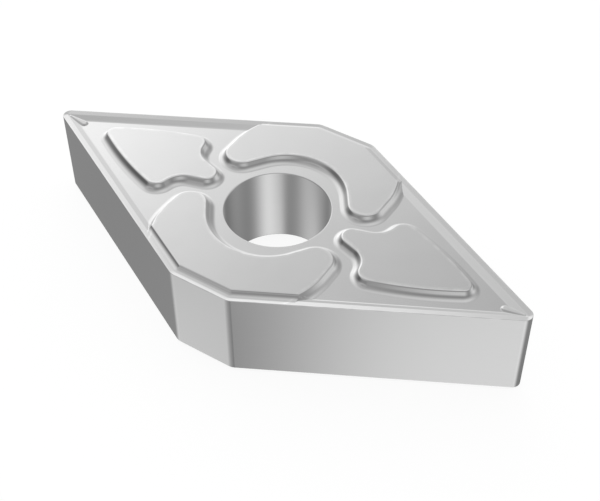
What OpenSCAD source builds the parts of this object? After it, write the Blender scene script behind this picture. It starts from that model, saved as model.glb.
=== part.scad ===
// Double-sided turning insert: a rhombus with sharp upright flanks, a round bore, and the same
// chip breaker and raised seating pads on both faces. Sizes are in millimetres. The seat is on
// z = 0, the bore runs along z and the long diagonal along x.

/* [Body] */
// Diameter of the circle that touches the four flanks
inscribed_d = 12.7; // [12:0.1:15.9]
// Angle between the flanks at a cutting corner, in degrees
corner_angle = 55; // [50:1:60]
// Height from the seat to the cutting edge of the opposite face
seat_to_edge = 4.76; // [3.18:0.01:6.35]
// Radius of the two cutting corners
nose_r = 0.4; // [0.3:0.1:1.2]
// Radius of the upright edges beside the flats on the blunt corners
blunt_r = 0.7; // [0.55:0.05:1.5]
// Diameter of the bore
bore_d = 5.16; // [4.3:0.02:6.2]

/* [Chip breaker] */
// Width of the land behind the cutting edge
land_w = 0.28; // [0.1:0.01:0.28]
// Slope of the land, in degrees
land_angle = 8; // [4:1:12]
// Width of the rake face between the land and the floor
rake_w = 0.3; // [0.2:0.01:0.5]
// Slope of the rake face, in degrees
rake_angle = 28; // [20:1:35]
// Radius of the floor's outline behind the nose
floor_nose_r = 0.3; // [0.2:0.05:0.8]

/* [Seating pads] */
// Height of the pads above the cutting edge
pad_rise = 0.18; // [0.1:0.01:0.3]
// Slope of the pad walls, in degrees
wall_angle = 65; // [50:1:75]
// Radius along the top of the pad walls
crest_r = 0.08; // [0.04:0.01:0.12]
// Radius at the foot of the pad walls
foot_r = 0.25; // [0.1:0.01:0.3]
// Width of the floor between the bore and the pads
rim_w = 1.15; // [0.9:0.05:1.5]

/* [Side pads] */
// Width of the ledge from the flank to the top of a side pad
ledge_w = 0.53; // [0.4:0.01:0.8]
// Width of the part of the ledge that runs on from the land
ledge_land_w = 0.1; // [0.05:0.01:0.2]
// Radius of the bay that a side pad leaves round the bore
bay_r = 3.02; // [2.6:0.01:3.4]
// Distance of a horn's centre from the short diagonal
horn_x = 3.56; // [3.4:0.02:4]
// Distance of a horn's centre from the long diagonal
horn_y = 2.22; // [2.1:0.02:2.6]
// Radius of the horns of a side pad
horn_r = 0.76; // [0.6:0.02:0.85]
// Radius of the curved end of a side pad
end_r = 3.63; // [3:0.01:5]
// Distance of the end's furthest point from the short diagonal
end_x = 4.33; // [4.2:0.01:4.8]
// Distance of the outer corner of a side pad from the short diagonal
outer_x = 3.12; // [2.6:0.02:3.4]
// Width of the strip behind the cutting edge in which the pad ends in a gentler ramp
ramp_w = 0.66; // [0.6:0.01:0.8]
// Slope of the ramp, in degrees
ramp_angle = 38; // [30:1:48]

/* [Nose pads] */
// Distance from the sharp corner of the rhombus to the tip of a nose pad
tip_gap = 3.52; // [3:0.02:4.5]
// Radius of the tip of a nose pad
tip_r = 0.35; // [0.3:0.01:0.5]
// Distance from the sharp corner to the centre of the shoulder, along the long diagonal
shoulder_gap = 7.7; // [7:0.05:8.2]
// Distance from the flank to the shoulder of a nose pad
shoulder_edge_gap = 1.7; // [1.4:0.02:2]
// Radius of the shoulders
shoulder_r = 0.5; // [0.4:0.02:0.6]
// Radius of the bulging side between the shoulder and the tip
bulge_r = 17; // [12:0.5:30]
// Radius of the inner end beside the bore
heel_r = 0.44; // [0.36:0.02:0.5]
// Radius of the hollow between the shoulder and the inner end
hollow_r = 1.15; // [0.9:0.05:1.3]
// How much further from the long diagonal the hollow's centre lies than the shoulder's
hollow_shift = 0.2; // [0:0.05:0.3]

/* [Nose ribs] */
// Distance from the sharp corner of the rhombus to the centre of the rib's round end
rib_gap = 1.76; // [1.6:0.02:2]
// Radius of the round end along its top
rib_r = 0.13; // [0.1:0.01:0.18]
// Height of the round end above the floor
rib_h = 0.09; // [0.05:0.01:0.12]
// Slope of the rib's sides, in degrees
rib_angle = 45; // [35:1:60]
// Distance from the sharp corner of the rhombus to the rib's tip
rib_tip_gap = 0.85; // [0.8:0.01:1.1]

/* [Hidden] */

bore_facets = 96;
nose_steps = 10;
blunt_steps = 4;
crest_steps = 2;
foot_steps = 2;
ledge_steps = 4;
outer_steps = 1;
end_steps = 4;
horn_steps = 7;
bay_steps = 14;
tip_steps = 6;
bulge_steps = 4;
shoulder_steps = 6;
hollow_steps = 5;
heel_steps = 8;
rib_steps = 8;
rib_tip_steps = 3;
overlap = 0.06;
dip = 0.015;
reach = 0.4;
touching = 0.01;

touch_r = inscribed_d / 2;
half_angle = corner_angle / 2;
sharp_x = touch_r / sin(half_angle);
total_h = seat_to_edge + pad_rise;
edge_z = total_h / 2 - pad_rise;
pad_z = total_h / 2;
land_drop = land_w * tan(land_angle);
floor_w = land_w + rake_w;
floor_z = edge_z - land_drop - rake_w * tan(rake_angle);
wall_h = pad_z - floor_z;

// Outward normal of the straight stretch that runs from circle a to circle b. A circle is
// [x, y, radius, steps], and a negative radius makes it a hollow.
function stretch(a, b) =
    let (run = [b.x - a.x, b.y - a.y])
    atan2(run.y, run.x) - acos(min(1, max(-1, (a.z - b.z) / norm(run))));

// Turn along one circle from normal u to normal v: left round a bulge, right round a hollow
function turn(u, v, r) =
    let (left = (v - u) % 360, a = left < 0 ? left + 360 : left)
    r < 0 ? a - 360 : a;

// Length of the straight stretch that runs from circle a to circle b
function stretch_length(a, b) =
    sqrt(max(0, pow(norm([b.x - a.x, b.y - a.y]), 2) - pow(a.z - b.z, 2)));

// Outline that runs round the circles like a belt, moved outwards by grow, at height z. Where two
// circles touch, the point that they share is given once.
function belt(circles, grow, z) =
    let (n = len(circles), normals = [for (i = [0:n - 1]) stretch(circles[i], circles[(i + 1) % n])])
    [for (i = [0:n - 1])
        let (c = circles[i],
            before = (i + n - 1) % n,
            sweep = turn(normals[before], normals[i], c.z),
            first = stretch_length(circles[before], c) < touching ? 1 : 0)
        for (k = [first:c[3]])
            let (a = normals[before] + sweep * k / c[3], r = c.z + grow)
            [c.x + r * cos(a), c.y + r * sin(a), z]];

// Circles of the rhombus at a distance inside its flanks, with a chosen radius at the nose
function rhombus(inset, nose) =
    let (d = touch_r - inset,
        nose_x = (d - nose) / sin(half_angle),
        blunt = blunt_r - min(inset, blunt_r - overlap),
        blunt_y = d - blunt,
        blunt_x = blunt_y * (1 - cos(half_angle)) / sin(half_angle))
    [[nose_x, 0, nose, nose_steps],
        [blunt_x, blunt_y, blunt, blunt_steps],
        [-blunt_x, blunt_y, blunt, blunt_steps],
        [-nose_x, 0, nose, nose_steps],
        [-blunt_x, -blunt_y, blunt, blunt_steps],
        [blunt_x, -blunt_y, blunt, blunt_steps]];

// Twice the area of a triangle in plan, positive when its corners turn left
function twist(a, b, c) = (b.x - a.x) * (c.y - a.y) - (b.y - a.y) * (c.x - a.x);

// Whether a triangle can be cut off at corner i of an outline without cutting through its rest
function is_ear(ring, left, i) =
    let (n = len(left), a = ring[left[(i + n - 1) % n]], b = ring[left[i]], c = ring[left[(i + 1) % n]])
    twist(a, b, c) > 0 && len([for (k = [2:n - 2])
        let (p = ring[left[(i + k) % n]])
        if (twist(a, b, p) >= 0 && twist(b, c, p) >= 0 && twist(c, a, p) >= 0) k]) == 0;

// Triangles that fill an outline with hollows, cut off one by one from the corners that are left
function fill(ring, left) =
    let (n = len(left), ear = n < 4 ? 1 : [for (i = [0:n - 1]) if (is_ear(ring, left, i)) i][0])
    concat([[left[(ear + n - 1) % n], left[ear], left[(ear + 1) % n]]],
        n < 4 ? [] : fill(ring, [for (i = [0:n - 1]) if (i != ear) left[i]]));

// Closed skin over rings of equal length, from the lowest ring to the highest
module loft(rings) {
    n = len(rings[0]);
    last = (len(rings) - 1) * n;
    corners = [for (i = [0:n - 1]) i];
    sides = [for (k = [0:n:last - n], i = corners)
        let (a = k + i, b = k + (i + 1) % n)
        each [[a, a + n, b + n], [a, b + n, b]]];
    bottom = fill(rings[0], corners);
    top = [for (t = fill(rings[len(rings) - 1], corners)) [last + t.z, last + t.y, last + t.x]];
    polyhedron([for (ring = rings) each ring], concat(sides, bottom, top), convexity = 6);
}

// Both faces of the insert are alike
module both_faces() {
    children();
    mirror([0, 0, 1]) children();
}

// Body with flanks, lands, rake faces and sunken floors
module body() {
    steps = [
        [floor_w, floor_nose_r, floor_z],
        [land_w, max(nose_r - land_w, overlap), edge_z - land_drop],
        [0, nose_r, edge_z]];
    lower = [for (s = steps) belt(rhombus(s[0], s[1]), 0, -s[2])];
    upper = [for (i = [len(steps) - 1:-1:0]) belt(rhombus(steps[i][0], steps[i][1]), 0, steps[i][2])];
    loft(concat(lower, upper));
}

// Wall section as [how far outside the top outline, height], from the foot up to the crest
function wall_section() =
    let (foot_out = foot_r * sin(wall_angle),
        foot_up = foot_r * (1 - cos(wall_angle)),
        crest_out = crest_r * sin(wall_angle),
        crest_up = crest_r * (1 - cos(wall_angle)),
        flat_out = (wall_h - foot_up - crest_up) / tan(wall_angle),
        total_out = foot_out + flat_out + crest_out)
    concat(
        [[total_out, floor_z - overlap]],
        [for (k = [1:foot_steps])
            let (a = wall_angle * k / foot_steps)
            [total_out - foot_r * sin(a), floor_z + foot_r * (1 - cos(a))]],
        [for (k = [crest_steps:-1:0])
            let (a = wall_angle * k / crest_steps)
            [crest_r * sin(a), pad_z - crest_r * (1 - cos(a))]]);

// Pad with sloping walls and rounded crest and foot, from the circles of its top outline
module island(circles) {
    loft([for (s = wall_section()) belt(circles, s[0], s[1])]);
}

// Dome over the whole rhombus whose rounded rim gives the side pads their ledge
module crown() {
    start_z = edge_z - ledge_land_w * tan(land_angle);
    rise = pad_z - start_z;
    run = ledge_w - ledge_land_w;
    slope = 2 * atan(rise / run);
    rim_r = run / sin(slope);
    arc = [for (k = [1:ledge_steps])
        let (a = slope * k / ledge_steps)
        [ledge_land_w + rim_r * sin(a), start_z + rim_r * (1 - cos(a))]];
    start = [[ledge_land_w, floor_z - 2 * overlap], [ledge_land_w, start_z - dip]];
    above = [[ledge_w + overlap, pad_z + overlap * tan(slope)]];
    section = concat(start, arc, above);
    loft([for (s = section) belt(rhombus(s[0], max(nose_r, s[0])), 0, s[1])]);
}

// Circles of the far side pad, whose outer side runs past the flank
function side_circles() =
    let (bay_y = bore_d / 2 + rim_w - bay_r, out = touch_r + reach)
    [[outer_x, out, overlap, outer_steps],
        [-outer_x, out, overlap, outer_steps],
        [-end_x + end_r, horn_y + horn_r, end_r, end_steps],
        [-horn_x, horn_y, horn_r, horn_steps],
        [0, bay_y, -bay_r, bay_steps],
        [horn_x, horn_y, horn_r, horn_steps],
        [end_x - end_r, horn_y + horn_r, end_r, end_steps]];

// Space over the rhombus that starts behind the ramps and widens upwards
module inside_ramps() {
    low = floor_z - 2 * overlap;
    high = pad_z + 2 * overlap;
    spread = (high - low) / tan(wall_angle);
    loft([belt(rhombus(ramp_w, floor_nose_r), 0, low), belt(rhombus(ramp_w - spread, floor_nose_r), 0, high)]);
}

// Ramps at both ends of the far side pad, from just under its top down into the rake face
module end_ramps() {
    low = floor_z - overlap;
    high = pad_z - touching;
    inwards = overlap / 2;
    run = (high - low) / tan(ramp_angle);
    difference() {
        loft([belt(side_circles(), run - inwards, low), belt(side_circles(), -inwards, high)]);
        inside_ramps();
    }
}

// Pad between the bore and the far ledge
module side_pad() {
    intersection() {
        crown();
        union() {
            island(side_circles());
            end_ramps();
        }
    }
}

// Pair of pads beside the bore, which reach out to the ledges
module side_pads() {
    side_pad();
    mirror([0, 1, 0]) side_pad();
}

// Centre of the circle of radius r that bulges past circles a and b and touches both
function bulge_centre(a, b, r) =
    let (run = [b.x - a.x, b.y - a.y],
        d = norm(run),
        p = r - a.z,
        q = r - b.z,
        along = (p * p - q * q + d * d) / (2 * d),
        off = sqrt(p * p - along * along))
    [a.x + (run.x * along + run.y * off) / d, a.y + (run.y * along - run.x * off) / d];

// Circles of the right nose pad
function nose_pad_circles() =
    let (tip = [sharp_x - tip_gap - tip_r, 0, tip_r, tip_steps],
        shoulder_x = sharp_x - shoulder_gap,
        shoulder_y = (shoulder_gap * sin(half_angle) - shoulder_edge_gap - shoulder_r) / cos(half_angle),
        shoulder = [shoulder_x, shoulder_y, shoulder_r, shoulder_steps],
        bulge = bulge_centre(shoulder, tip, bulge_r),
        heel = [bore_d / 2 + rim_w + heel_r, 0, heel_r, heel_steps],
        hollow_x = shoulder_x - hollow_r - shoulder_r,
        hollow_y = shoulder_y + hollow_shift)
    [tip,
        [bulge.x, bulge.y, bulge_r, bulge_steps],
        shoulder,
        [hollow_x, hollow_y, -hollow_r, hollow_steps],
        heel,
        [hollow_x, -hollow_y, -hollow_r, hollow_steps],
        [shoulder_x, -shoulder_y, shoulder_r, shoulder_steps],
        [bulge.x, -bulge.y, bulge_r, bulge_steps]];

// Pair of tapering pads that point at the cutting corners
module nose_pads() {
    island(nose_pad_circles());
    mirror([1, 0, 0]) island(nose_pad_circles());
}

// Rib that runs down the right end of the long diagonal, from the land to a round end on the floor
module nose_rib() {
    low = floor_z - overlap;
    end_x = sharp_x - rib_gap;
    tip_x = sharp_x - rib_tip_gap;
    end_z = floor_z + rib_h;
    tip_z = edge_z - land_drop - touching;
    circles = [[end_x, 0, rib_r, rib_steps], [tip_x, 0, overlap / 2, rib_tip_steps]];
    top = [for (p = belt(circles, 0, 0))
        [p.x, p.y, end_z + (tip_z - end_z) * (p.x - end_x) / (tip_x - end_x)]];
    loft([belt(circles, (end_z - low) / tan(rib_angle), low), top]);
}

// One rib behind each cutting corner
module nose_ribs() {
    nose_rib();
    mirror([1, 0, 0]) nose_rib();
}

// The whole insert, resting on its lower pads
module insert() {
    color("silver")
    translate([0, 0, total_h / 2])
    difference() {
        union() {
            body();
            both_faces() side_pads();
            both_faces() nose_pads();
            both_faces() nose_ribs();
        }
        cylinder(h = 2 * total_h, d = bore_d, center = true, $fn = bore_facets);
    }
}

insert();
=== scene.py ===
import math

import bpy
import numpy as np
from mathutils import Matrix, Vector
from mathutils.geometry import delaunay_2d_cdt


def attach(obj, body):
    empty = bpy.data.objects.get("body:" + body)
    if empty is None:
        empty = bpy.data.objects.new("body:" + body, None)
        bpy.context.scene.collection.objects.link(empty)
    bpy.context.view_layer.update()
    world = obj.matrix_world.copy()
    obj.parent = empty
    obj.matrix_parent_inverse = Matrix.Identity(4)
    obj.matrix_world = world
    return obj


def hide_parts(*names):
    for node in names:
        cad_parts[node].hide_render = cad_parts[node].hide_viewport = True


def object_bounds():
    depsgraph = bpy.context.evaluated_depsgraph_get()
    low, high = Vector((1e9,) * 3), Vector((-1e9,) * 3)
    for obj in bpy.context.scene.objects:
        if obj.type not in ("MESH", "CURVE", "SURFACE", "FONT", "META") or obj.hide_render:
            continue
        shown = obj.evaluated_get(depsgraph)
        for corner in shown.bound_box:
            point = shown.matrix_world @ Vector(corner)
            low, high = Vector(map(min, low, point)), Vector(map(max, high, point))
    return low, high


# A double-sided rhombic cutting insert that lies on a pale table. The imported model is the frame, and
# one finer surface takes the place of its single node. The insert's sizes are in millimetres.

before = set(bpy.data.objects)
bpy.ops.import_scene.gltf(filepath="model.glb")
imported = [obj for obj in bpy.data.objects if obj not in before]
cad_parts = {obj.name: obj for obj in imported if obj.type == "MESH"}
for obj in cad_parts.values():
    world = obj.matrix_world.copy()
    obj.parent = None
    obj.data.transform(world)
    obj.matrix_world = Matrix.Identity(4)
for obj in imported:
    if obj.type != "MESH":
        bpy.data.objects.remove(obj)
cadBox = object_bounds()
mm = 0.001
totalHeight = (cadBox[1].z - cadBox[0].z) / mm
print("frame loaded, box in mm:", [round(v / mm, 3) for v in (*cadBox[0], *cadBox[1])])

insertBody = {
    "inscribedCircle": (cadBox[1].y - cadBox[0].y) / mm,
    "cornerAngle": 55.0,
    "noseRadius": 0.4,
    "bluntRadius": 0.7,
    "leastBluntRadius": 0.06,  # that the blunt corners keep inside the chip breaker
    "boreDiameter": 5.16,
    "boreBreak": 0.04,  # rounding of the bore's rim
    "boreSteps": 180,
    "noseSteps": 16,
    "bluntSteps": 8,
}

chipBreaker = {
    "landWidth": 0.28,
    "landAngle": 8.0,
    "rakeWidth": 0.3,
    "rakeAngle": 28.0,
    "floorNoseRadius": 0.3,
    "creaseNoseRadius": 0.03,  # of the line between land and rake, round the nose
    "deepInset": 1.5,  # inset at which the nose radius is the next value
    "deepNoseRadius": 0.8,
    "honeWidth": 0.02,  # rounding of the cutting edge
    "creaseBlend": 0.02,  # rounding between land and rake
    "floorBlend": 0.05,  # rounding between rake and floor
}

seatingPads = {
    "rise": 0.18,
    "wallAngle": 65.0,
    "crestRadius": 0.11,
    "footRadius": 0.36,
    "rimWidth": 1.15,
    "crestSteps": 6,
    "footSteps": 8,
    "meetBlend": 0.03,  # where a pad's end runs into the land and the rake
}

sidePad = {
    "ledgeStart": 0.16,  # inset at which the ledge starts to turn up from the land
    "ledgeEnd": 0.57,  # inset at which it has turned level again at the pad's top
    "ledgeCrest": 0.1,  # radius at its top
    "ledgeTries": 6,  # of its rise, which settles by then
    "crestShare": 0.99,  # of the crest's radius that its arc is worked out for
    "bayRadius": 3.02,
    "hornX": 3.56,
    "hornY": 2.22,
    "hornRadius": 0.76,
    "endRadius": 3.63,
    "endX": 4.33,
    "outerX": 3.12,
    "reach": 0.4,
    "outerRadius": 0.06,
    "baySteps": 40,
    "hornSteps": 18,
    "endSteps": 16,
    "rampWidth": 0.66,  # strip behind the cutting edge in which the pad ends in a gentler ramp
    "rampAngle": 46.0,
    "rampStart": 0.03,  # how far inside the top's outline the ramp starts to fall
    "rampBlend": 0.03,
}

nosePad = {
    "tipGap": 3.52,
    "tipRadius": 0.35,
    "shoulderGap": 7.7,
    "shoulderEdgeGap": 1.7,
    "shoulderRadius": 0.5,
    "bulgeRadius": 17.0,
    "heelRadius": 0.44,
    "hollowRadius": 1.15,
    "hollowShift": 0.2,
    "steps": 14,  # of every circle but the two below
    "heelSteps": 16,
    "hollowSteps": 12,
}

noseRib = {
    "gap": 1.76,  # from the sharp corner of the rhombus to the centre of the round end
    "radius": 0.13,
    "height": 0.09,
    "sideAngle": 55.0,
    "tipGap": 0.85,
    "tipRadius": 0.03,
    "crestBlend": 0.04,
    "footBlend": 0.03,
    "steps": 24,
    "tipSteps": 8,
}

surfaceDetail = {  # how finely the surface is worked out: counts, and sizes in mm
    "sameSpot": 0.002,  # nearer points of an outline count as one
    "joinWithin": 1e-6,
    "pointsAtOnce": 4000,
    "finerOutline": 3,  # heights are measured from outlines with this many times the steps
    "deepest": 1.2,  # insets are told apart up to here
    "halvings": 26,
    "probe": 0.001,  # step over which a slope is measured
    "leastMeet": 0.001,  # share of the side pads' meeting blend that is left on the floor
    "honeLoops": 4,
    "rimLoops": 5,
    "landLoops": (0.05, 0.1),  # insets
    "ledgeLoops": (0.14, 0.44, 16),  # first and last inset, and how many
    "crestLoops": (0.45, 0.57, 16),
    "floorLoops": (-0.5, 1, 5),  # first and last in shares of the floor's rounding, and how many
    "flatMargin": 0.03,  # a flat keeps one more loop this far inside its border, so that it shades flat
    "wearMargin": 0.15,  # and one where the edge wear has faded out
    "grid": 0.02,  # of single points over the ramps and the ribs
    "rampAlong": (1.1, 2.4),  # along the flank, from where the inscribed circle touches it
    "rampInset": (0.07, 0.75),
    "ribBehind": 0.4,  # how far the grid goes on behind a rib's round end
    "ribCorner": 0.6,  # and how far short of the sharp corner it ends
    "ribAcross": (-0.42, 0.43),
    "ribInset": 0.1,
    "uprightLimit": 0.01,  # a wall is upright where its normal rises less than this
}

halfAngle = math.radians(insertBody["cornerAngle"] / 2)
touchRadius = insertBody["inscribedCircle"] / 2
sharpX = touchRadius / math.sin(halfAngle)
padZ = totalHeight / 2
edgeZ = padZ - seatingPads["rise"]
floorWidth = chipBreaker["landWidth"] + chipBreaker["rakeWidth"]
landDrop = chipBreaker["landWidth"] * math.tan(math.radians(chipBreaker["landAngle"]))
rakeDrop = chipBreaker["rakeWidth"] * math.tan(math.radians(chipBreaker["rakeAngle"]))
floorZ = edgeZ - landDrop - rakeDrop


def belt(circles, grow=0.0, finer=1):
    # Outline of a belt round circles, each [x, y, radius, steps]; a negative radius is a hollow.
    # The normal of each straight run is its direction less the arc cosine of the radii's difference
    # over its length, and each arc turns evenly from one run's normal to the next.
    c = np.array(circles, float)
    run = np.roll(c, -1, 0)[:, :2] - c[:, :2]
    slip = (c[:, 2] - np.roll(c, -1, 0)[:, 2]) / np.hypot(*run.T)
    leave = np.arctan2(run[:, 1], run[:, 0]) - np.arccos(np.clip(slip, -1, 1))
    arrive = np.roll(leave, 1)
    sweep = np.mod(leave - arrive, 2 * np.pi)
    sweep = np.where(c[:, 2] < 0, sweep - 2 * np.pi, sweep)
    arcs = []
    for (x, y, r, steps), start, turn in zip(c, arrive, sweep):
        a = start + turn * np.linspace(0, 1, int(steps) * finer + 1)
        arcs.append(np.column_stack([x + (r + grow) * np.cos(a), y + (r + grow) * np.sin(a)]))
    points = np.vstack(arcs)
    gap = np.hypot(*(points - np.roll(points, 1, 0)).T)
    return points[gap > surfaceDetail["sameSpot"]]


def outside(outline, points):
    # Signed distance of points from a closed outline, positive outside: the least distance to any of
    # its segments, with its sign from counting how often a level line to the right crosses it.
    a, b = outline, np.roll(outline, -1, 0)
    run = b - a
    result = np.empty(len(points))
    for first in range(0, len(points), surfaceDetail["pointsAtOnce"]):
        block = slice(first, first + surfaceDetail["pointsAtOnce"])
        p = points[block, None, :]
        t = np.clip(((p - a) * run).sum(-1) / (run ** 2).sum(-1), 0, 1)
        d = np.hypot(*np.moveaxis(p - a - t[..., None] * run, -1, 0)).min(1)
        rises = (a[:, 1] > p[..., 1]) != (b[:, 1] > p[..., 1])
        dy = np.where(run[:, 1] == 0, 1, run[:, 1])
        crosses = rises & (p[..., 0] < a[:, 0] + run[:, 0] * (p[..., 1] - a[:, 1]) / dy)
        result[block] = np.where(crosses.sum(1) % 2 == 1, -d, d)
    return result


def cornersAt(inset):
    # Corner circles of the rhombus whose sides lie an inset inside the cutting edge: how far its sides
    # are from the bore's axis, the nose radius and its centre along X, then the blunt radius and its
    # centre, which lies where the flank and the flat are equally far away.
    k = chipBreaker
    reach = touchRadius - inset
    insets = [0, k["landWidth"], floorWidth, k["deepInset"]]
    radii = [insertBody["noseRadius"], k["creaseNoseRadius"], k["floorNoseRadius"], k["deepNoseRadius"]]
    nose = np.interp(inset, insets, radii)
    noseX = (reach - nose) / math.sin(halfAngle)
    blunt = np.maximum(insertBody["bluntRadius"] - inset, insertBody["leastBluntRadius"])
    bluntY = reach - blunt
    bluntX = bluntY * (1 - math.cos(halfAngle)) / math.sin(halfAngle)
    return reach, nose, noseX, blunt, bluntX, bluntY


def rhombusCircles(inset):
    # Circles of the belt that is the rhombus at an inset, anticlockwise from the nose on +X.
    _, nose, noseX, blunt, bluntX, bluntY = (float(v) for v in cornersAt(inset))
    n, b = insertBody["noseSteps"], insertBody["bluntSteps"]
    return [[noseX, 0, nose, n], [bluntX, bluntY, blunt, b], [-bluntX, bluntY, blunt, b],
            [-noseX, 0, nose, n], [-bluntX, -bluntY, blunt, b], [bluntX, -bluntY, blunt, b]]


def outsideRhombus(points, inset):
    # Signed distance from the rhombus at an inset: to its nose circle or blunt circle where a point
    # lies in their sectors, else to the nearer of the flank's line and the flat's line.
    x, y = np.abs(points[:, 0]), np.abs(points[:, 1])
    reach, nose, noseX, blunt, bluntX, bluntY = cornersAt(inset)
    flank = x * math.sin(halfAngle) + y * math.cos(halfAngle) - reach
    inNose = np.arctan2(y, x - noseX) < math.pi / 2 - halfAngle
    turned = np.arctan2(y - bluntY, x - bluntX)
    inBlunt = (turned > math.pi / 2 - halfAngle) & (turned < math.pi / 2)
    out = np.maximum(flank, y - reach)
    out = np.where(inBlunt, np.hypot(x - bluntX, y - bluntY) - blunt, out)
    return np.where(inNose, np.hypot(x - noseX, y) - nose, out)


def foldX(points):
    # The face is the same on both sides of either axis, so only one side of it is worked out.
    return np.column_stack([np.abs(points[:, 0]), points[:, 1]])


def foldY(points):
    return np.column_stack([points[:, 0], np.abs(points[:, 1])])


def insetOf(points):
    # How far inside the cutting edge a point lies: the inset whose rhombus passes through it, found
    # by halving an interval.
    low, high = np.zeros(len(points)), np.full(len(points), surfaceDetail["deepest"])
    for _ in range(surfaceDetail["halvings"]):
        middle = (low + high) / 2
        inside = outsideRhombus(points, middle) < 0
        low, high = np.where(inside, middle, low), np.where(inside, high, middle)
    return (low + high) / 2


def softStep(x, bend, width):
    # Ramp that is 0 before the bend and rises at slope 1 after it, with its corner rounded by a
    # parabola of the given half width.
    t = np.clip((x - bend) / width, -1, 1)
    return np.where(np.abs(x - bend) < width, width * (t + 1) ** 2 / 4, np.maximum(x - bend, 0))


def breakerHeight(inset):
    # Land, rake and floor: the slopes change at two rounded bends, and the cutting edge falls away
    # along a quarter circle within the hone.
    k = chipBreaker
    landSlope, rakeSlope = math.tan(math.radians(k["landAngle"])), math.tan(math.radians(k["rakeAngle"]))
    z = edgeZ - landSlope * inset
    z = z - (rakeSlope - landSlope) * softStep(inset, k["landWidth"], k["creaseBlend"])
    z = z + rakeSlope * softStep(inset, floorWidth, k["floorBlend"])
    hone = np.clip(1 - inset / k["honeWidth"], 0, 1)
    return z - k["honeWidth"] * (1 - np.sqrt(1 - hone ** 2))


def ledgeHeight(inset):
    # Ledge of a side pad: the land, an arc that turns up from it and an arc over the crest. Both turn
    # by one angle, and the tangent of its half is the rise over the run. The land falls up to where
    # the arcs join, so the rise depends on the join and settles after a few tries.
    k = sidePad
    slope = math.tan(math.radians(chipBreaker["landAngle"]))
    run, crest = k["ledgeEnd"] - k["ledgeStart"], k["ledgeCrest"]
    join = run / 2
    for _ in range(k["ledgeTries"]):
        turn = 2 * math.atan((seatingPads["rise"] + slope * (k["ledgeStart"] + join)) / run)
        foot = run / math.sin(turn) - crest
        join = foot * math.sin(turn)
    along = np.maximum(inset - k["ledgeStart"], 0)
    lift = foot - np.sqrt(foot ** 2 - np.minimum(along, join) ** 2)
    halfLand = chipBreaker["landWidth"] / 2
    fall = slope * np.maximum(np.minimum(inset, k["ledgeStart"] + join) - halfLand, 0)
    low = breakerHeight(np.minimum(inset, halfLand)) - fall + lift
    high = padZ - crest + np.sqrt(crest ** 2 - np.clip(run - along, 0, k["crestShare"] * crest) ** 2)
    return np.where(along < join, low, high)


def wallStations():
    # Wall section as rows of how far outside the pad's top outline and height: an arc over the
    # crest, a straight wall, and an arc into the floor.
    k = seatingPads
    angle = math.radians(k["wallAngle"])
    crest, foot = k["crestRadius"], k["footRadius"]
    flat = (padZ - floorZ - (crest + foot) * (1 - math.cos(angle))) / math.tan(angle)
    width = (crest + foot) * math.sin(angle) + flat
    a = np.linspace(0, angle, k["crestSteps"] + 1)
    b = np.linspace(angle, 0, k["footSteps"] + 1)
    over = np.column_stack([crest * np.sin(a), padZ - crest * (1 - np.cos(a))])
    into = np.column_stack([width - foot * np.sin(b), floorZ + foot * (1 - np.cos(b))])
    return np.vstack([over, into])


def wallHeight(distance):
    # The wall section read at a distance outside the pad's top outline, on arcs rather than chords.
    k = seatingPads
    angle = math.radians(k["wallAngle"])
    crest, foot = k["crestRadius"], k["footRadius"]
    width = wallStations()[-1, 0]
    over = padZ - crest + np.sqrt(crest ** 2 - np.clip(distance, 0, crest * math.sin(angle)) ** 2)
    into = floorZ + foot - np.sqrt(foot ** 2 - np.clip(width - distance, 0, foot * math.sin(angle)) ** 2)
    crestEnd, footStart = crest * math.sin(angle), width - foot * math.sin(angle)
    straight = padZ - crest * (1 - math.cos(angle)) - math.tan(angle) * (distance - crestEnd)
    z = np.where(distance < crestEnd, over, np.where(distance > footStart, into, straight))
    return np.where(distance > width, floorZ, z)


def sideCircles():
    # Circles of the pad at the blunt corner on +Y: two beyond the edge, an end and a horn on each
    # side, and the bay round the bore, which is a hollow.
    k = sidePad
    bayY = insertBody["boreDiameter"] / 2 + seatingPads["rimWidth"] - k["bayRadius"]
    out = touchRadius + k["reach"]
    endX, endY = k["endX"] - k["endRadius"], k["hornY"] + k["hornRadius"]
    return [[k["outerX"], out, k["outerRadius"], 1], [-k["outerX"], out, k["outerRadius"], 1],
            [-endX, endY, k["endRadius"], k["endSteps"]],
            [-k["hornX"], k["hornY"], k["hornRadius"], k["hornSteps"]],
            [0, bayY, -k["bayRadius"], k["baySteps"]],
            [k["hornX"], k["hornY"], k["hornRadius"], k["hornSteps"]],
            [endX, endY, k["endRadius"], k["endSteps"]]]


def bulgeCentre(a, b, radius):
    # Centre of a circle of the given radius that holds circles a and b and touches both inside: it is
    # radius less their own radii away from each, on the right of the run from a to b.
    run = np.subtract(b[:2], a[:2])
    gap = np.hypot(*run)
    fromA, fromB = radius - a[2], radius - b[2]
    along = (fromA ** 2 - fromB ** 2 + gap ** 2) / (2 * gap)
    off = math.sqrt(fromA ** 2 - along ** 2)
    return a[0] + (run[0] * along + run[1] * off) / gap, a[1] + (run[1] * along - run[0] * off) / gap


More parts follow.
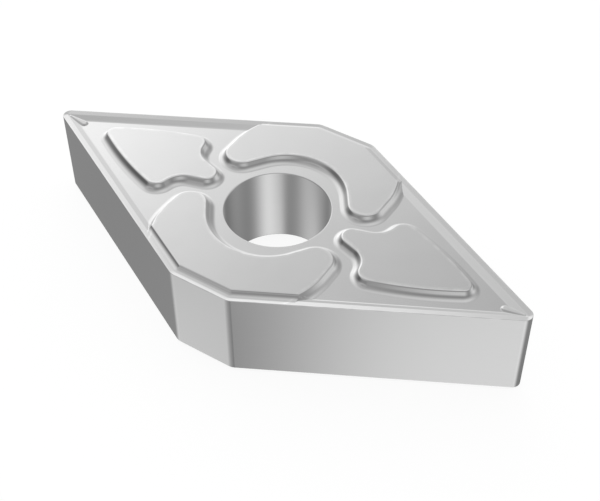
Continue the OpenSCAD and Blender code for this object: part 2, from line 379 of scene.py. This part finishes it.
def noseCircles():
    # Circles of the pad behind the nose on +X: tip, bulged side, shoulder and hollow, then the heel at
    # the bore, and the same again mirrored.
    k = nosePad
    tip = [sharpX - k["tipGap"] - k["tipRadius"], 0, k["tipRadius"], k["steps"]]
    x, radius = sharpX - k["shoulderGap"], k["shoulderRadius"]
    y = (k["shoulderGap"] * math.sin(halfAngle) - k["shoulderEdgeGap"] - radius) / math.cos(halfAngle)
    shoulder = [x, y, radius, k["steps"]]
    bulgeX, bulgeY = bulgeCentre(shoulder, tip, k["bulgeRadius"])
    bulge = [bulgeX, bulgeY, k["bulgeRadius"], k["steps"]]
    hollow = [x - k["hollowRadius"] - radius, y + k["hollowShift"], -k["hollowRadius"], k["hollowSteps"]]
    heelX = insertBody["boreDiameter"] / 2 + seatingPads["rimWidth"] + k["heelRadius"]
    heel = [heelX, 0, k["heelRadius"], k["heelSteps"]]
    below = [[cx, -cy, r, steps] for cx, cy, r, steps in (hollow, shoulder, bulge)]
    return [tip, bulge, shoulder, hollow, heel] + below


def rampHeight(distance, inset):
    # Ramp at a side pad's end: it falls at its own slope with the distance outside the top's outline,
    # and a wall as steep as the pad's closes it where the strip behind the cutting edge ends.
    k = sidePad
    fall = padZ - math.tan(math.radians(k["rampAngle"])) * (distance + k["rampStart"])
    side = floorZ + (k["rampWidth"] - inset) * math.tan(math.radians(seatingPads["wallAngle"]))
    return softMin(fall, side, k["rampBlend"])


def ribHeight(points):
    # Rib behind a cutting corner: its top rises evenly from the round end to the tip, and its sides
    # fall with the distance outside its outline.
    k = noseRib
    endX, tipX = sharpX - k["gap"], sharpX - k["tipGap"]
    endZ, tipZ = floorZ + k["height"], edgeZ - landDrop
    circles = [[endX, 0, k["radius"], k["steps"]], [tipX, 0, k["tipRadius"], k["tipSteps"]]]
    oneSide = foldX(points)
    away = outside(belt(circles), oneSide)
    top = endZ + (tipZ - endZ) * (oneSide[:, 0] - endX) / (tipX - endX)
    return top - math.tan(math.radians(k["sideAngle"])) * softStep(away, 0, k["crestBlend"])


def softMax(a, b, width):
    # The higher of two heights, with their meeting line rounded over the given difference.
    t = np.clip(1 - np.abs(a - b) / width, 0, 1)
    return np.maximum(a, b) + width * t ** 2 / 4


def softMin(a, b, width):
    # The lower of two heights, rounded in the same way.
    return -softMax(-a, -b, width)


def faceHeight(points):
    # Height of the upper face above the mid-plane. The chip breaker is a function of the inset, each
    # pad of the distance from its outline, and the highest of them counts. The bore's rim is rounded.
    inset, finer = insetOf(points), surfaceDetail["finerOutline"]
    nose = wallHeight(outside(belt(noseCircles(), finer=finer), foldX(points)))
    beyond = outside(belt(sideCircles(), finer=finer), foldY(points))
    side = softMax(wallHeight(beyond), rampHeight(beyond, inset), sidePad["rampBlend"])
    base = breakerHeight(inset)
    share = np.clip((floorWidth - inset) / chipBreaker["rakeWidth"], surfaceDetail["leastMeet"], 1)
    z = softMax(base, np.minimum(side, padZ), seatingPads["meetBlend"] * share)
    z = np.minimum(z, np.maximum(base, ledgeHeight(inset)))
    z = np.maximum(z, nose)
    rib = ribHeight(points)
    z = np.where(rib > z - noseRib["footBlend"], softMax(z, rib, noseRib["footBlend"]), z)
    rim = insertBody["boreBreak"]
    within = np.clip(1 - (np.hypot(*points.T) - insertBody["boreDiameter"] / 2) / rim, 0, 1)
    return z - rim * (1 - np.sqrt(1 - within ** 2))


def mirrored(loop, flip):
    # A loop's mirror image, with its points in reverse order where one axis alone is flipped.
    return (loop * flip)[::-1] if flip[0] * flip[1] < 0 else loop * flip


def quarterArc(width, count):
    # Even steps round a quarter circle, as distances from the edge that it rounds.
    return width * (1 - np.cos(np.linspace(0, np.pi / 2, count)))


def faceLoops():
    # Closed lines that the face's triangles follow: insets of the rhombus, steps of the pad walls,
    # and circles at the bore's rim.
    k, d = chipBreaker, surfaceDetail
    flat, wear = d["flatMargin"], d["wearMargin"]
    insets = np.concatenate([quarterArc(k["honeWidth"], d["honeLoops"]), d["landLoops"],
                             np.linspace(*d["ledgeLoops"]), np.linspace(*d["crestLoops"]),
                             floorWidth + np.linspace(*d["floorLoops"]) * k["floorBlend"],
                             [floorWidth + k["floorBlend"] + flat]])
    insets = np.unique(np.round(insets, 4))  # insets that nearly agree share one loop
    loops = [belt(rhombusCircles(t)) for t in insets]
    steps = wallStations()[:, 0]
    steps = np.concatenate([[-wear, -flat], steps, [steps[-1] + flat]])
    for circles, flips in ((noseCircles(), ([1, 1], [-1, 1])), (sideCircles(), ([1, 1], [1, -1]))):
        loops += [mirrored(belt(circles, grow), np.array(flip)) for flip in flips for grow in steps]
    around = np.linspace(0, 2 * np.pi, insertBody["boreSteps"], endpoint=False)
    circle = np.column_stack([np.cos(around), np.sin(around)])
    rim = quarterArc(insertBody["boreBreak"], d["rimLoops"])
    rim = np.append(rim, rim[-1] + flat)
    loops += [circle * (insertBody["boreDiameter"] / 2 + r) for r in rim]
    return loops


def finePoints():
    # Fine grids of single points: over the ramp in one quarter, mirrored to the other three, and over
    # the nose ribs.
    d, grid = surfaceDetail, surfaceDetail["grid"]
    along, inset = np.meshgrid(np.arange(*d["rampAlong"], grid), np.arange(*d["rampInset"], grid))
    along, inset = along.ravel(), inset.ravel()
    x = along * math.cos(halfAngle) + (touchRadius - inset) * math.sin(halfAngle)
    y = (touchRadius - inset) * math.cos(halfAngle) - along * math.sin(halfAngle)
    ramps = [np.column_stack([x * flipX, y * flipY]) for flipX in (1, -1) for flipY in (1, -1)]
    start, end = sharpX - noseRib["gap"] - d["ribBehind"], sharpX - d["ribCorner"]
    x, y = np.meshgrid(np.arange(start, end, grid), np.arange(*d["ribAcross"], grid))
    ribs = np.column_stack([x.ravel(), y.ravel()])
    ribs = ribs[outsideRhombus(ribs, d["ribInset"]) < 0]
    return ramps + [ribs, ribs * [-1, 1]]


def joinLoops(loops, singles):
    # All points in one array, and the pairs of points that each loop joins.
    points = np.vstack(loops + singles)
    starts = np.cumsum([0] + [len(loop) for loop in loops[:-1]])
    pairs = [np.column_stack([np.arange(len(loop)), np.roll(np.arange(len(loop)), -1)]) + start
             for loop, start in zip(loops, starts)]
    return points, np.vstack(pairs)


def planTriangles():
    # The upper face in plan: triangles between its loops and single points, all anticlockwise. Those
    # past the cutting edge or in the bore are left out.
    points, pairs = joinLoops(faceLoops(), finePoints())
    verts, _, faces, *_ = delaunay_2d_cdt([Vector(p) for p in points], pairs.tolist(), [], 0,
                                          surfaceDetail["joinWithin"], False)
    plan = np.array([v[:] for v in verts])
    tris = np.array([f for f in faces if len(f) == 3])
    centre = plan[tris].mean(1)
    chordMiddle = insertBody["boreDiameter"] / 2 * math.cos(math.pi / insertBody["boreSteps"])
    keep = (outside(belt(rhombusCircles(0.0)), centre) < 0) & (np.hypot(*centre.T) > chordMiddle)
    used, tris = np.unique(tris[keep], return_inverse=True)
    tris, plan = tris.reshape(-1, 3), plan[used]
    a, b, c = plan[tris[:, 0]], plan[tris[:, 1]], plan[tris[:, 2]]
    turned = (b[:, 0] - a[:, 0]) * (c[:, 1] - a[:, 1]) - (b[:, 1] - a[:, 1]) * (c[:, 0] - a[:, 0])
    return plan, np.where(turned[:, None] < 0, tris[:, ::-1], tris)


def makeInsert():
    # The face in plan is lifted by its height. The lower face is its mirror image, and every edge
    # with one triangle is drawn down to its image, which makes the flanks and the bore.
    plan, tris = planTriangles()
    z = faceHeight(plan)
    middle = totalHeight / 2
    upper = np.column_stack([plan, middle + z])
    lower = np.column_stack([plan, middle - z])
    n = len(plan)
    edges = np.vstack([tris[:, [0, 1]], tris[:, [1, 2]], tris[:, [2, 0]]])
    key = np.sort(edges, 1) @ [n, 1]
    _, first, count = np.unique(key, return_index=True, return_counts=True)
    rim = edges[first[count == 1]]
    quads = np.column_stack([rim[:, 1], rim[:, 0], rim[:, 0] + n, rim[:, 1] + n])
    mesh = bpy.data.meshes.new("insert_surface")
    faces = tris.tolist() + (tris[:, ::-1] + n).tolist() + quads.tolist()
    mesh.from_pydata((np.vstack([upper, lower]) * mm).tolist(), [], faces)
    mesh.validate()
    mesh.update()
    piece = bpy.data.objects.new("insert_surface", mesh)
    bpy.context.scene.collection.objects.link(piece)
    print("insert surface:", n * 2, "points,", len(tris) * 2 + len(quads) * 2, "triangles")
    return piece


def differences(height, points):
    # How much a function of the plan changes over a small step to either side, along X and along Y.
    moves = surfaceDetail["probe"] * np.eye(2)
    return [height(points + move) - height(points - move) for move in moves]


def unit(vectors):
    # Each vector over its own length.
    return vectors / np.linalg.norm(vectors, axis=1)[:, None]


def slopeNormals(points):
    # Unit normals of the upper face: upright, less its slope along X and Y.
    dx, dy = differences(faceHeight, points)
    return unit(np.column_stack([-dx, -dy, np.full(len(points), 2 * surfaceDetail["probe"])]))


def uprightNormals(points):
    # Level normals of the upright walls: towards the axis in the bore, outwards on the flanks. The
    # flanks all lie further from the axis than the bore's diameter.
    dx, dy = differences(lambda p: outsideRhombus(p, 0), points)
    inBore = np.hypot(*points.T) < insertBody["boreDiameter"]
    n = unit(np.where(inBore[:, None], -points, np.column_stack([dx, dy])))
    return np.column_stack([n, np.zeros(len(n))])


def planOf(mesh):
    # Where a mesh's points lie in plan, in millimetres.
    places = np.empty(len(mesh.vertices) * 3)
    mesh.vertices.foreach_get("co", places)
    return places.reshape(-1, 3)[:, :2] / mm


def shadeByShape(piece):
    # Each corner gets the normal of the shape itself, so that flats shade flat and curves smooth.
    mesh = piece.data
    plan = planOf(mesh)
    upper = slopeNormals(plan[:len(plan) // 2])
    face = np.vstack([upper, upper * [1, 1, -1]])
    wall = uprightNormals(plan)
    corner = np.empty(len(mesh.loops), int)
    mesh.loops.foreach_get("vertex_index", corner)
    normals = np.empty(len(mesh.polygons) * 3)
    mesh.polygons.foreach_get("normal", normals)
    sizes = np.empty(len(mesh.polygons), int)
    mesh.polygons.foreach_get("loop_total", sizes)
    rises = np.abs(normals.reshape(-1, 3)[:, 2])
    upright = np.repeat(rises < surfaceDetail["uprightLimit"], sizes)
    mesh.shade_smooth()
    mesh.normals_split_custom_set(np.where(upright[:, None], wall[corner], face[corner]).tolist())


insert = makeInsert()
shadeByShape(insert)
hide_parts("insert")
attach(insert, "root")

carbideFinish = {
    "darkColour": (0.585, 0.585, 0.585, 1.0),
    "paleColour": (0.615, 0.615, 0.615, 1.0),
    "wornColour": (0.72, 0.72, 0.72, 1.0),
    "roughness": 0.12,
    "roughnessSpread": 0.04,
    "grainPerMm": 14.0,
    "grainDepth": 0.00012,  # mm
    "grainDetail": 3.0,
    "lineStretch": 30.0,  # grinding lines run level round the flanks
    "linesPerMm": 0.8,
    "lineDepth": 0.0002,
    "wearWidth": 0.05,  # mm behind an edge
    "wearDepth": 0.04,  # mm below a crest or a cutting edge
    "wearPatchesPerMm": 1.6,
    "wearPatchDetail": 4.0,
    "wearPatchRange": (0.35, 0.6),  # of the noise, from no wear to full wear
    "wearStrength": 0.8,
}


def newGroup(name, inputs, outputs):
    group = bpy.data.node_groups.new(name, "ShaderNodeTree")
    for label, kind in inputs:
        group.interface.new_socket(label, in_out="INPUT", socket_type=kind)
    for label, kind in outputs:
        group.interface.new_socket(label, in_out="OUTPUT", socket_type=kind)
    return group, group.nodes.new("NodeGroupInput"), group.nodes.new("NodeGroupOutput")


def mathNode(tree, operation, a, b=None):
    node = tree.nodes.new("ShaderNodeMath")
    node.operation = operation
    for socket, value in zip(node.inputs, (a, b)):
        if isinstance(value, (int, float)):
            socket.default_value = value
        elif value is not None:
            tree.links.new(value, socket)
    return node.outputs[0]


def joinSockets(tree, links):
    for start, end in links:
        tree.links.new(start, end)


def makeFineGrain():
    # Fine noise of the ground surface, with its own bump. Stretch squeezes it into lines.
    group, given, result = newGroup(
        "fine grain",
        [("Per metre", "NodeSocketFloat"), ("Stretch", "NodeSocketVector"), ("Depth", "NodeSocketFloat"),
         ("Normal", "NodeSocketVector")],
        [("Value", "NodeSocketFloat"), ("Normal", "NodeSocketVector")])
    place = group.nodes.new("ShaderNodeTexCoord")
    stretch = group.nodes.new("ShaderNodeVectorMath")
    stretch.operation = "MULTIPLY"
    noise = group.nodes.new("ShaderNodeTexNoise")
    noise.inputs["Detail"].default_value = carbideFinish["grainDetail"]
    bump = group.nodes.new("ShaderNodeBump")
    bump.inputs["Strength"].default_value = 1.0
    joinSockets(group, (
        (place.outputs["Object"], stretch.inputs[0]),
        (given.outputs["Stretch"], stretch.inputs[1]),
        (stretch.outputs[0], noise.inputs["Vector"]),
        (given.outputs["Per metre"], noise.inputs["Scale"]),
        (noise.outputs["Fac"], bump.inputs["Height"]),
        (given.outputs["Depth"], bump.inputs["Distance"]),
        (given.outputs["Normal"], bump.inputs["Normal"]),
        (noise.outputs["Fac"], result.inputs["Value"]),
        (bump.outputs["Normal"], result.inputs["Normal"])))
    return group


def makeEdgeWear():
    # Mask of rubbed edges: the mesh's own edge value, broken up into patches.
    group, given, result = newGroup(
        "edge wear",
        [("Edge", "NodeSocketFloat"), ("Per metre", "NodeSocketFloat"), ("Strength", "NodeSocketFloat")],
        [("Mask", "NodeSocketFloat")])
    place = group.nodes.new("ShaderNodeTexCoord")
    noise = group.nodes.new("ShaderNodeTexNoise")
    noise.inputs["Detail"].default_value = carbideFinish["wearPatchDetail"]
    patches = group.nodes.new("ShaderNodeMapRange")
    low, high = carbideFinish["wearPatchRange"]
    patches.inputs["From Min"].default_value, patches.inputs["From Max"].default_value = low, high
    mask = mathNode(group, "MULTIPLY", given.outputs["Edge"], patches.outputs["Result"])
    mask = mathNode(group, "MULTIPLY", mask, given.outputs["Strength"])
    joinSockets(group, (
        (place.outputs["Object"], noise.inputs["Vector"]),
        (given.outputs["Per metre"], noise.inputs["Scale"]),
        (noise.outputs["Fac"], patches.inputs["Value"]),
        (mask, result.inputs["Mask"])))
    return group


fineGrain = makeFineGrain()
edgeWear = makeEdgeWear()


def placeGroup(tree, group, **values):
    node = tree.nodes.new("ShaderNodeGroup")
    node.node_tree = group
    for label, value in values.items():
        socket = node.inputs[label.replace("_", " ")]
        if isinstance(value, bpy.types.NodeSocket):
            tree.links.new(value, socket)
        else:
            socket.default_value = value
    return node


def carbideMaterial():
    k = carbideFinish
    material = bpy.data.materials.new("ground carbide")
    material.use_nodes = True
    tree = material.node_tree
    shader = tree.nodes["Principled BSDF"]
    shader.inputs["Metallic"].default_value = 1.0
    grain = placeGroup(tree, fineGrain, Per_metre=k["grainPerMm"] / mm, Stretch=(1, 1, 1),
                       Depth=k["grainDepth"] * mm)
    lines = placeGroup(tree, fineGrain, Per_metre=k["linesPerMm"] / mm, Stretch=(1, 1, k["lineStretch"]),
                       Depth=k["lineDepth"] * mm, Normal=grain.outputs["Normal"])

    # The edge value fades below the cutting edges, so that it stays off the flanks.
    place = tree.nodes.new("ShaderNodeSeparateXYZ")
    tree.links.new(tree.nodes.new("ShaderNodeTexCoord").outputs["Object"], place.inputs[0])
    height = mathNode(tree, "ABSOLUTE", mathNode(tree, "SUBTRACT", place.outputs["Z"], totalHeight / 2 * mm))
    nearFace = tree.nodes.new("ShaderNodeMapRange")
    nearFace.inputs["From Min"].default_value = (edgeZ - chipBreaker["honeWidth"] - k["wearDepth"]) * mm
    nearFace.inputs["From Max"].default_value = (edgeZ - chipBreaker["honeWidth"]) * mm
    tree.links.new(height, nearFace.inputs["Value"])
    edge = tree.nodes.new("ShaderNodeAttribute")
    edge.attribute_name = "edge"
    edgeValue = mathNode(tree, "MULTIPLY", edge.outputs["Fac"], nearFace.outputs["Result"])
    wear = placeGroup(tree, edgeWear, Edge=edgeValue, Per_metre=k["wearPatchesPerMm"] / mm,
                      Strength=k["wearStrength"])
    tone, colour = tree.nodes.new("ShaderNodeMix"), tree.nodes.new("ShaderNodeMix")
    tone.data_type = colour.data_type = "RGBA"
    tone.inputs["A"].default_value, tone.inputs["B"].default_value = k["darkColour"], k["paleColour"]
    tree.links.new(lines.outputs["Value"], tone.inputs["Factor"])
    tree.links.new(tone.outputs["Result"], colour.inputs["A"])
    colour.inputs["B"].default_value = k["wornColour"]
    tree.links.new(wear.outputs["Mask"], colour.inputs["Factor"])
    tree.links.new(colour.outputs["Result"], shader.inputs["Base Color"])
    both = mathNode(tree, "ADD", grain.outputs["Value"], lines.outputs["Value"])
    spread = mathNode(tree, "MULTIPLY", mathNode(tree, "SUBTRACT", both, 1.0), k["roughnessSpread"])
    tree.links.new(mathNode(tree, "ADD", spread, k["roughness"]), shader.inputs["Roughness"])
    tree.links.new(lines.outputs["Normal"], shader.inputs["Normal"])
    return material


def markEdges(piece):
    # Edge value of each point: it fades with the distance behind the cutting edge and with the
    # distance from the outline of a pad's top.
    plan = planOf(piece.data)
    noseCrest = np.abs(outside(belt(noseCircles()), foldX(plan)))
    sideCrest = np.abs(outside(belt(sideCircles()), foldY(plan)))
    gap = np.minimum(insetOf(plan), np.minimum(noseCrest, sideCrest))
    attribute = piece.data.attributes.new("edge", "FLOAT", "POINT")
    attribute.data.foreach_set("value", np.exp(-(gap / carbideFinish["wearWidth"]) ** 2))


markEdges(insert)
insert.data.materials.append(carbideMaterial())
insert.visible_glossy = False  # it shows the studio light alone, as the plain bands in its bore do
print("carbide finish set")


def mixShaders(tree, share, first, second):
    mix = tree.nodes.new("ShaderNodeMixShader")
    joinSockets(tree, zip((share, first, second), mix.inputs))
    return mix.outputs[0]


tableTop = {
    "size": 1.2,  # metres
    "gap": 0.005,  # mm below the pads, so that no two faces lie in one plane
    "colour": (0.8, 0.8, 0.8, 1.0),
    "whiteShare": 0.82,  # how much of the camera's table is plain white, so that its shadow is faint
    "whiteStrength": 1.1,
}


def makeTable():
    # The camera sees mostly plain white, so that the shadow is faint, and nothing of it from below.
    half = tableTop["size"] / 2
    mesh = bpy.data.meshes.new("table")
    level = -tableTop["gap"] * mm
    corners = [(-half, -half, level), (half, -half, level), (half, half, level), (-half, half, level)]
    mesh.from_pydata(corners, [], [(0, 1, 2, 3)])
    table = bpy.data.objects.new("table", mesh)
    bpy.context.scene.collection.objects.link(table)
    table.visible_glossy = False  # the metal shows the studio light below it instead
    material = bpy.data.materials.new("pale table")
    material.use_nodes = True
    tree = material.node_tree
    tree.nodes.clear()
    output = tree.nodes.new("ShaderNodeOutputMaterial")
    matte = tree.nodes.new("ShaderNodeBsdfDiffuse")
    matte.inputs["Color"].default_value = tableTop["colour"]
    white = tree.nodes.new("ShaderNodeEmission")
    white.inputs["Strength"].default_value = tableTop["whiteStrength"]
    cameraSees = tree.nodes.new("ShaderNodeLightPath").outputs["Is Camera Ray"]
    share = mathNode(tree, "MULTIPLY", cameraSees, tableTop["whiteShare"])
    fromAbove = mixShaders(tree, share, matte.outputs[0], white.outputs[0])
    below = tree.nodes.new("ShaderNodeNewGeometry").outputs["Backfacing"]
    clear = tree.nodes.new("ShaderNodeBsdfTransparent")  # so that the underside can be seen
    tree.links.new(mixShaders(tree, below, fromAbove, clear.outputs[0]), output.inputs["Surface"])
    mesh.materials.append(material)
    return table


makeTable()

# The photo's own camera, solved by a fit to the outlines of the face, the bore and the lower edges.
photoView = {
    "yaw": -33.056,  # degrees, of the camera round the insert
    "down": 44.731,
    "roll": -0.252,
    "distance": 56.23,  # mm, along the view to the plane of the aim point
    "shiftPixels": (-22.53, -44.89),
    "focalPixels": 1179.2,
    "width": 600,
    "sensor": 36.0,
    "clip": (0.001, 10),  # metres
}


def makeCamera():
    # The view's axes come from the yaw and the angle down, and are then turned by the roll. The
    # insert's axis at its cutting edges lies at the given distance, shifted across the picture.
    k = photoView
    yaw, down, roll = (math.radians(k[name]) for name in ("yaw", "down", "roll"))
    forward = Vector((math.sin(yaw) * math.cos(down), math.cos(yaw) * math.cos(down), -math.sin(down)))
    level = Vector((math.cos(yaw), -math.sin(yaw), 0))
    upright = level.cross(forward)
    right = level * math.cos(roll) + upright * math.sin(roll)
    up = upright * math.cos(roll) - level * math.sin(roll)
    perPixel = k["distance"] / k["focalPixels"]
    across, upwards = k["shiftPixels"]
    place = -forward * k["distance"] - right * across * perPixel + up * upwards * perPixel
    place += Vector((0, 0, totalHeight / 2 + edgeZ))
    data = bpy.data.cameras.new("camera")
    data.sensor_fit = "HORIZONTAL"
    data.sensor_width = k["sensor"]
    data.lens = k["focalPixels"] * k["sensor"] / k["width"]
    data.clip_start, data.clip_end = k["clip"]
    camera = bpy.data.objects.new("camera", data)
    turn = Matrix((right, up, -forward)).transposed()
    camera.matrix_world = Matrix.Translation(place * mm) @ turn.to_4x4()
    bpy.context.scene.collection.objects.link(camera)
    bpy.context.scene.camera = camera
    return camera


makeCamera()
print("camera placed")

# The soft boxes weren't placed by hand: a separate least-squares fit to the photo's brightness gave
# their numbers.
studioLight = {
    "fill": 0.1,  # plain light from all round
    # azimuth from +X and elevation in degrees, how narrow, and strength; dark cards are negative
    "softBoxes": {
        "backLeft": (131.0, -0.5, 7.6, 1.82),
        "backCard": (123.2, -4.3, 35.5, -1.0),
        "leftFront": (-115.8, 31.5, 12.4, 1.31),
        "leftFrontCard": (-115.2, 33.5, 21.9, -1.0),
        "left": (167.9, 33.5, 6.9, 0.96),
        "lowLeft": (-139.0, -41.2, 8.6, 0.94),
        "lowLeftCard": (-144.6, -30.8, 19.6, -1.0),
        "lowLeftGlow": (-145.3, -47.0, 36.0, 0.37),
        "front": (-49.4, -8.6, 6.2, 0.86),
        "rightUnder": (-34.5, -50.3, 16.3, 0.85),
        "right": (43.4, -5.8, 5.3, 0.85),
        "highRight": (42.6, 75.6, 4.1, 0.84),
        "frontUnder": (-67.7, -52.5, 77.4, 0.59),
        "frontCard": (-73.4, -51.3, 120.0, -0.56),
        "backHigh": (137.4, 37.1, 120.0, 0.39),
        "backMiddle": (119.5, 31.9, 55.4, 0.37),
    },
}


def makeStudioLight():
    # Each soft box is a round glow on the sky: its strength times e to the power of its narrowness
    # times the cosine from its centre less one. The camera sees plain white instead.
    world = bpy.data.worlds.new("studio")
    bpy.context.scene.world = world
    world.use_nodes = True
    tree = world.node_tree
    tree.nodes.clear()
    output = tree.nodes.new("ShaderNodeOutputWorld")
    direction = tree.nodes.new("ShaderNodeTexCoord").outputs["Generated"]

    total = studioLight["fill"]
    for azimuth, elevation, narrow, strength in studioLight["softBoxes"].values():
        a, e = math.radians(azimuth), math.radians(elevation)
        towards = tree.nodes.new("ShaderNodeVectorMath")
        towards.operation = "DOT_PRODUCT"
        towards.inputs[1].default_value = (math.cos(e) * math.cos(a), math.cos(e) * math.sin(a), math.sin(e))
        tree.links.new(direction, towards.inputs[0])
        beside = mathNode(tree, "SUBTRACT", towards.outputs["Value"], 1.0)
        falloff = mathNode(tree, "EXPONENT", mathNode(tree, "MULTIPLY", beside, narrow))
        box = mathNode(tree, "MULTIPLY", falloff, strength)
        total = mathNode(tree, "ADD", total, box)
    glow = tree.nodes.new("ShaderNodeBackground")
    tree.links.new(mathNode(tree, "MAXIMUM", total, 0.0), glow.inputs["Strength"])
    white = tree.nodes.new("ShaderNodeBackground")
    glow.inputs["Color"].default_value = white.inputs["Color"].default_value = (1, 1, 1, 1)
    cameraSees = tree.nodes.new("ShaderNodeLightPath").outputs["Is Camera Ray"]
    tree.links.new(mixShaders(tree, cameraSees, glow.outputs[0], white.outputs[0]), output.inputs["Surface"])
    return world


makeStudioLight()
bpy.context.scene.view_settings.view_transform = "Standard"
print("light and table set")
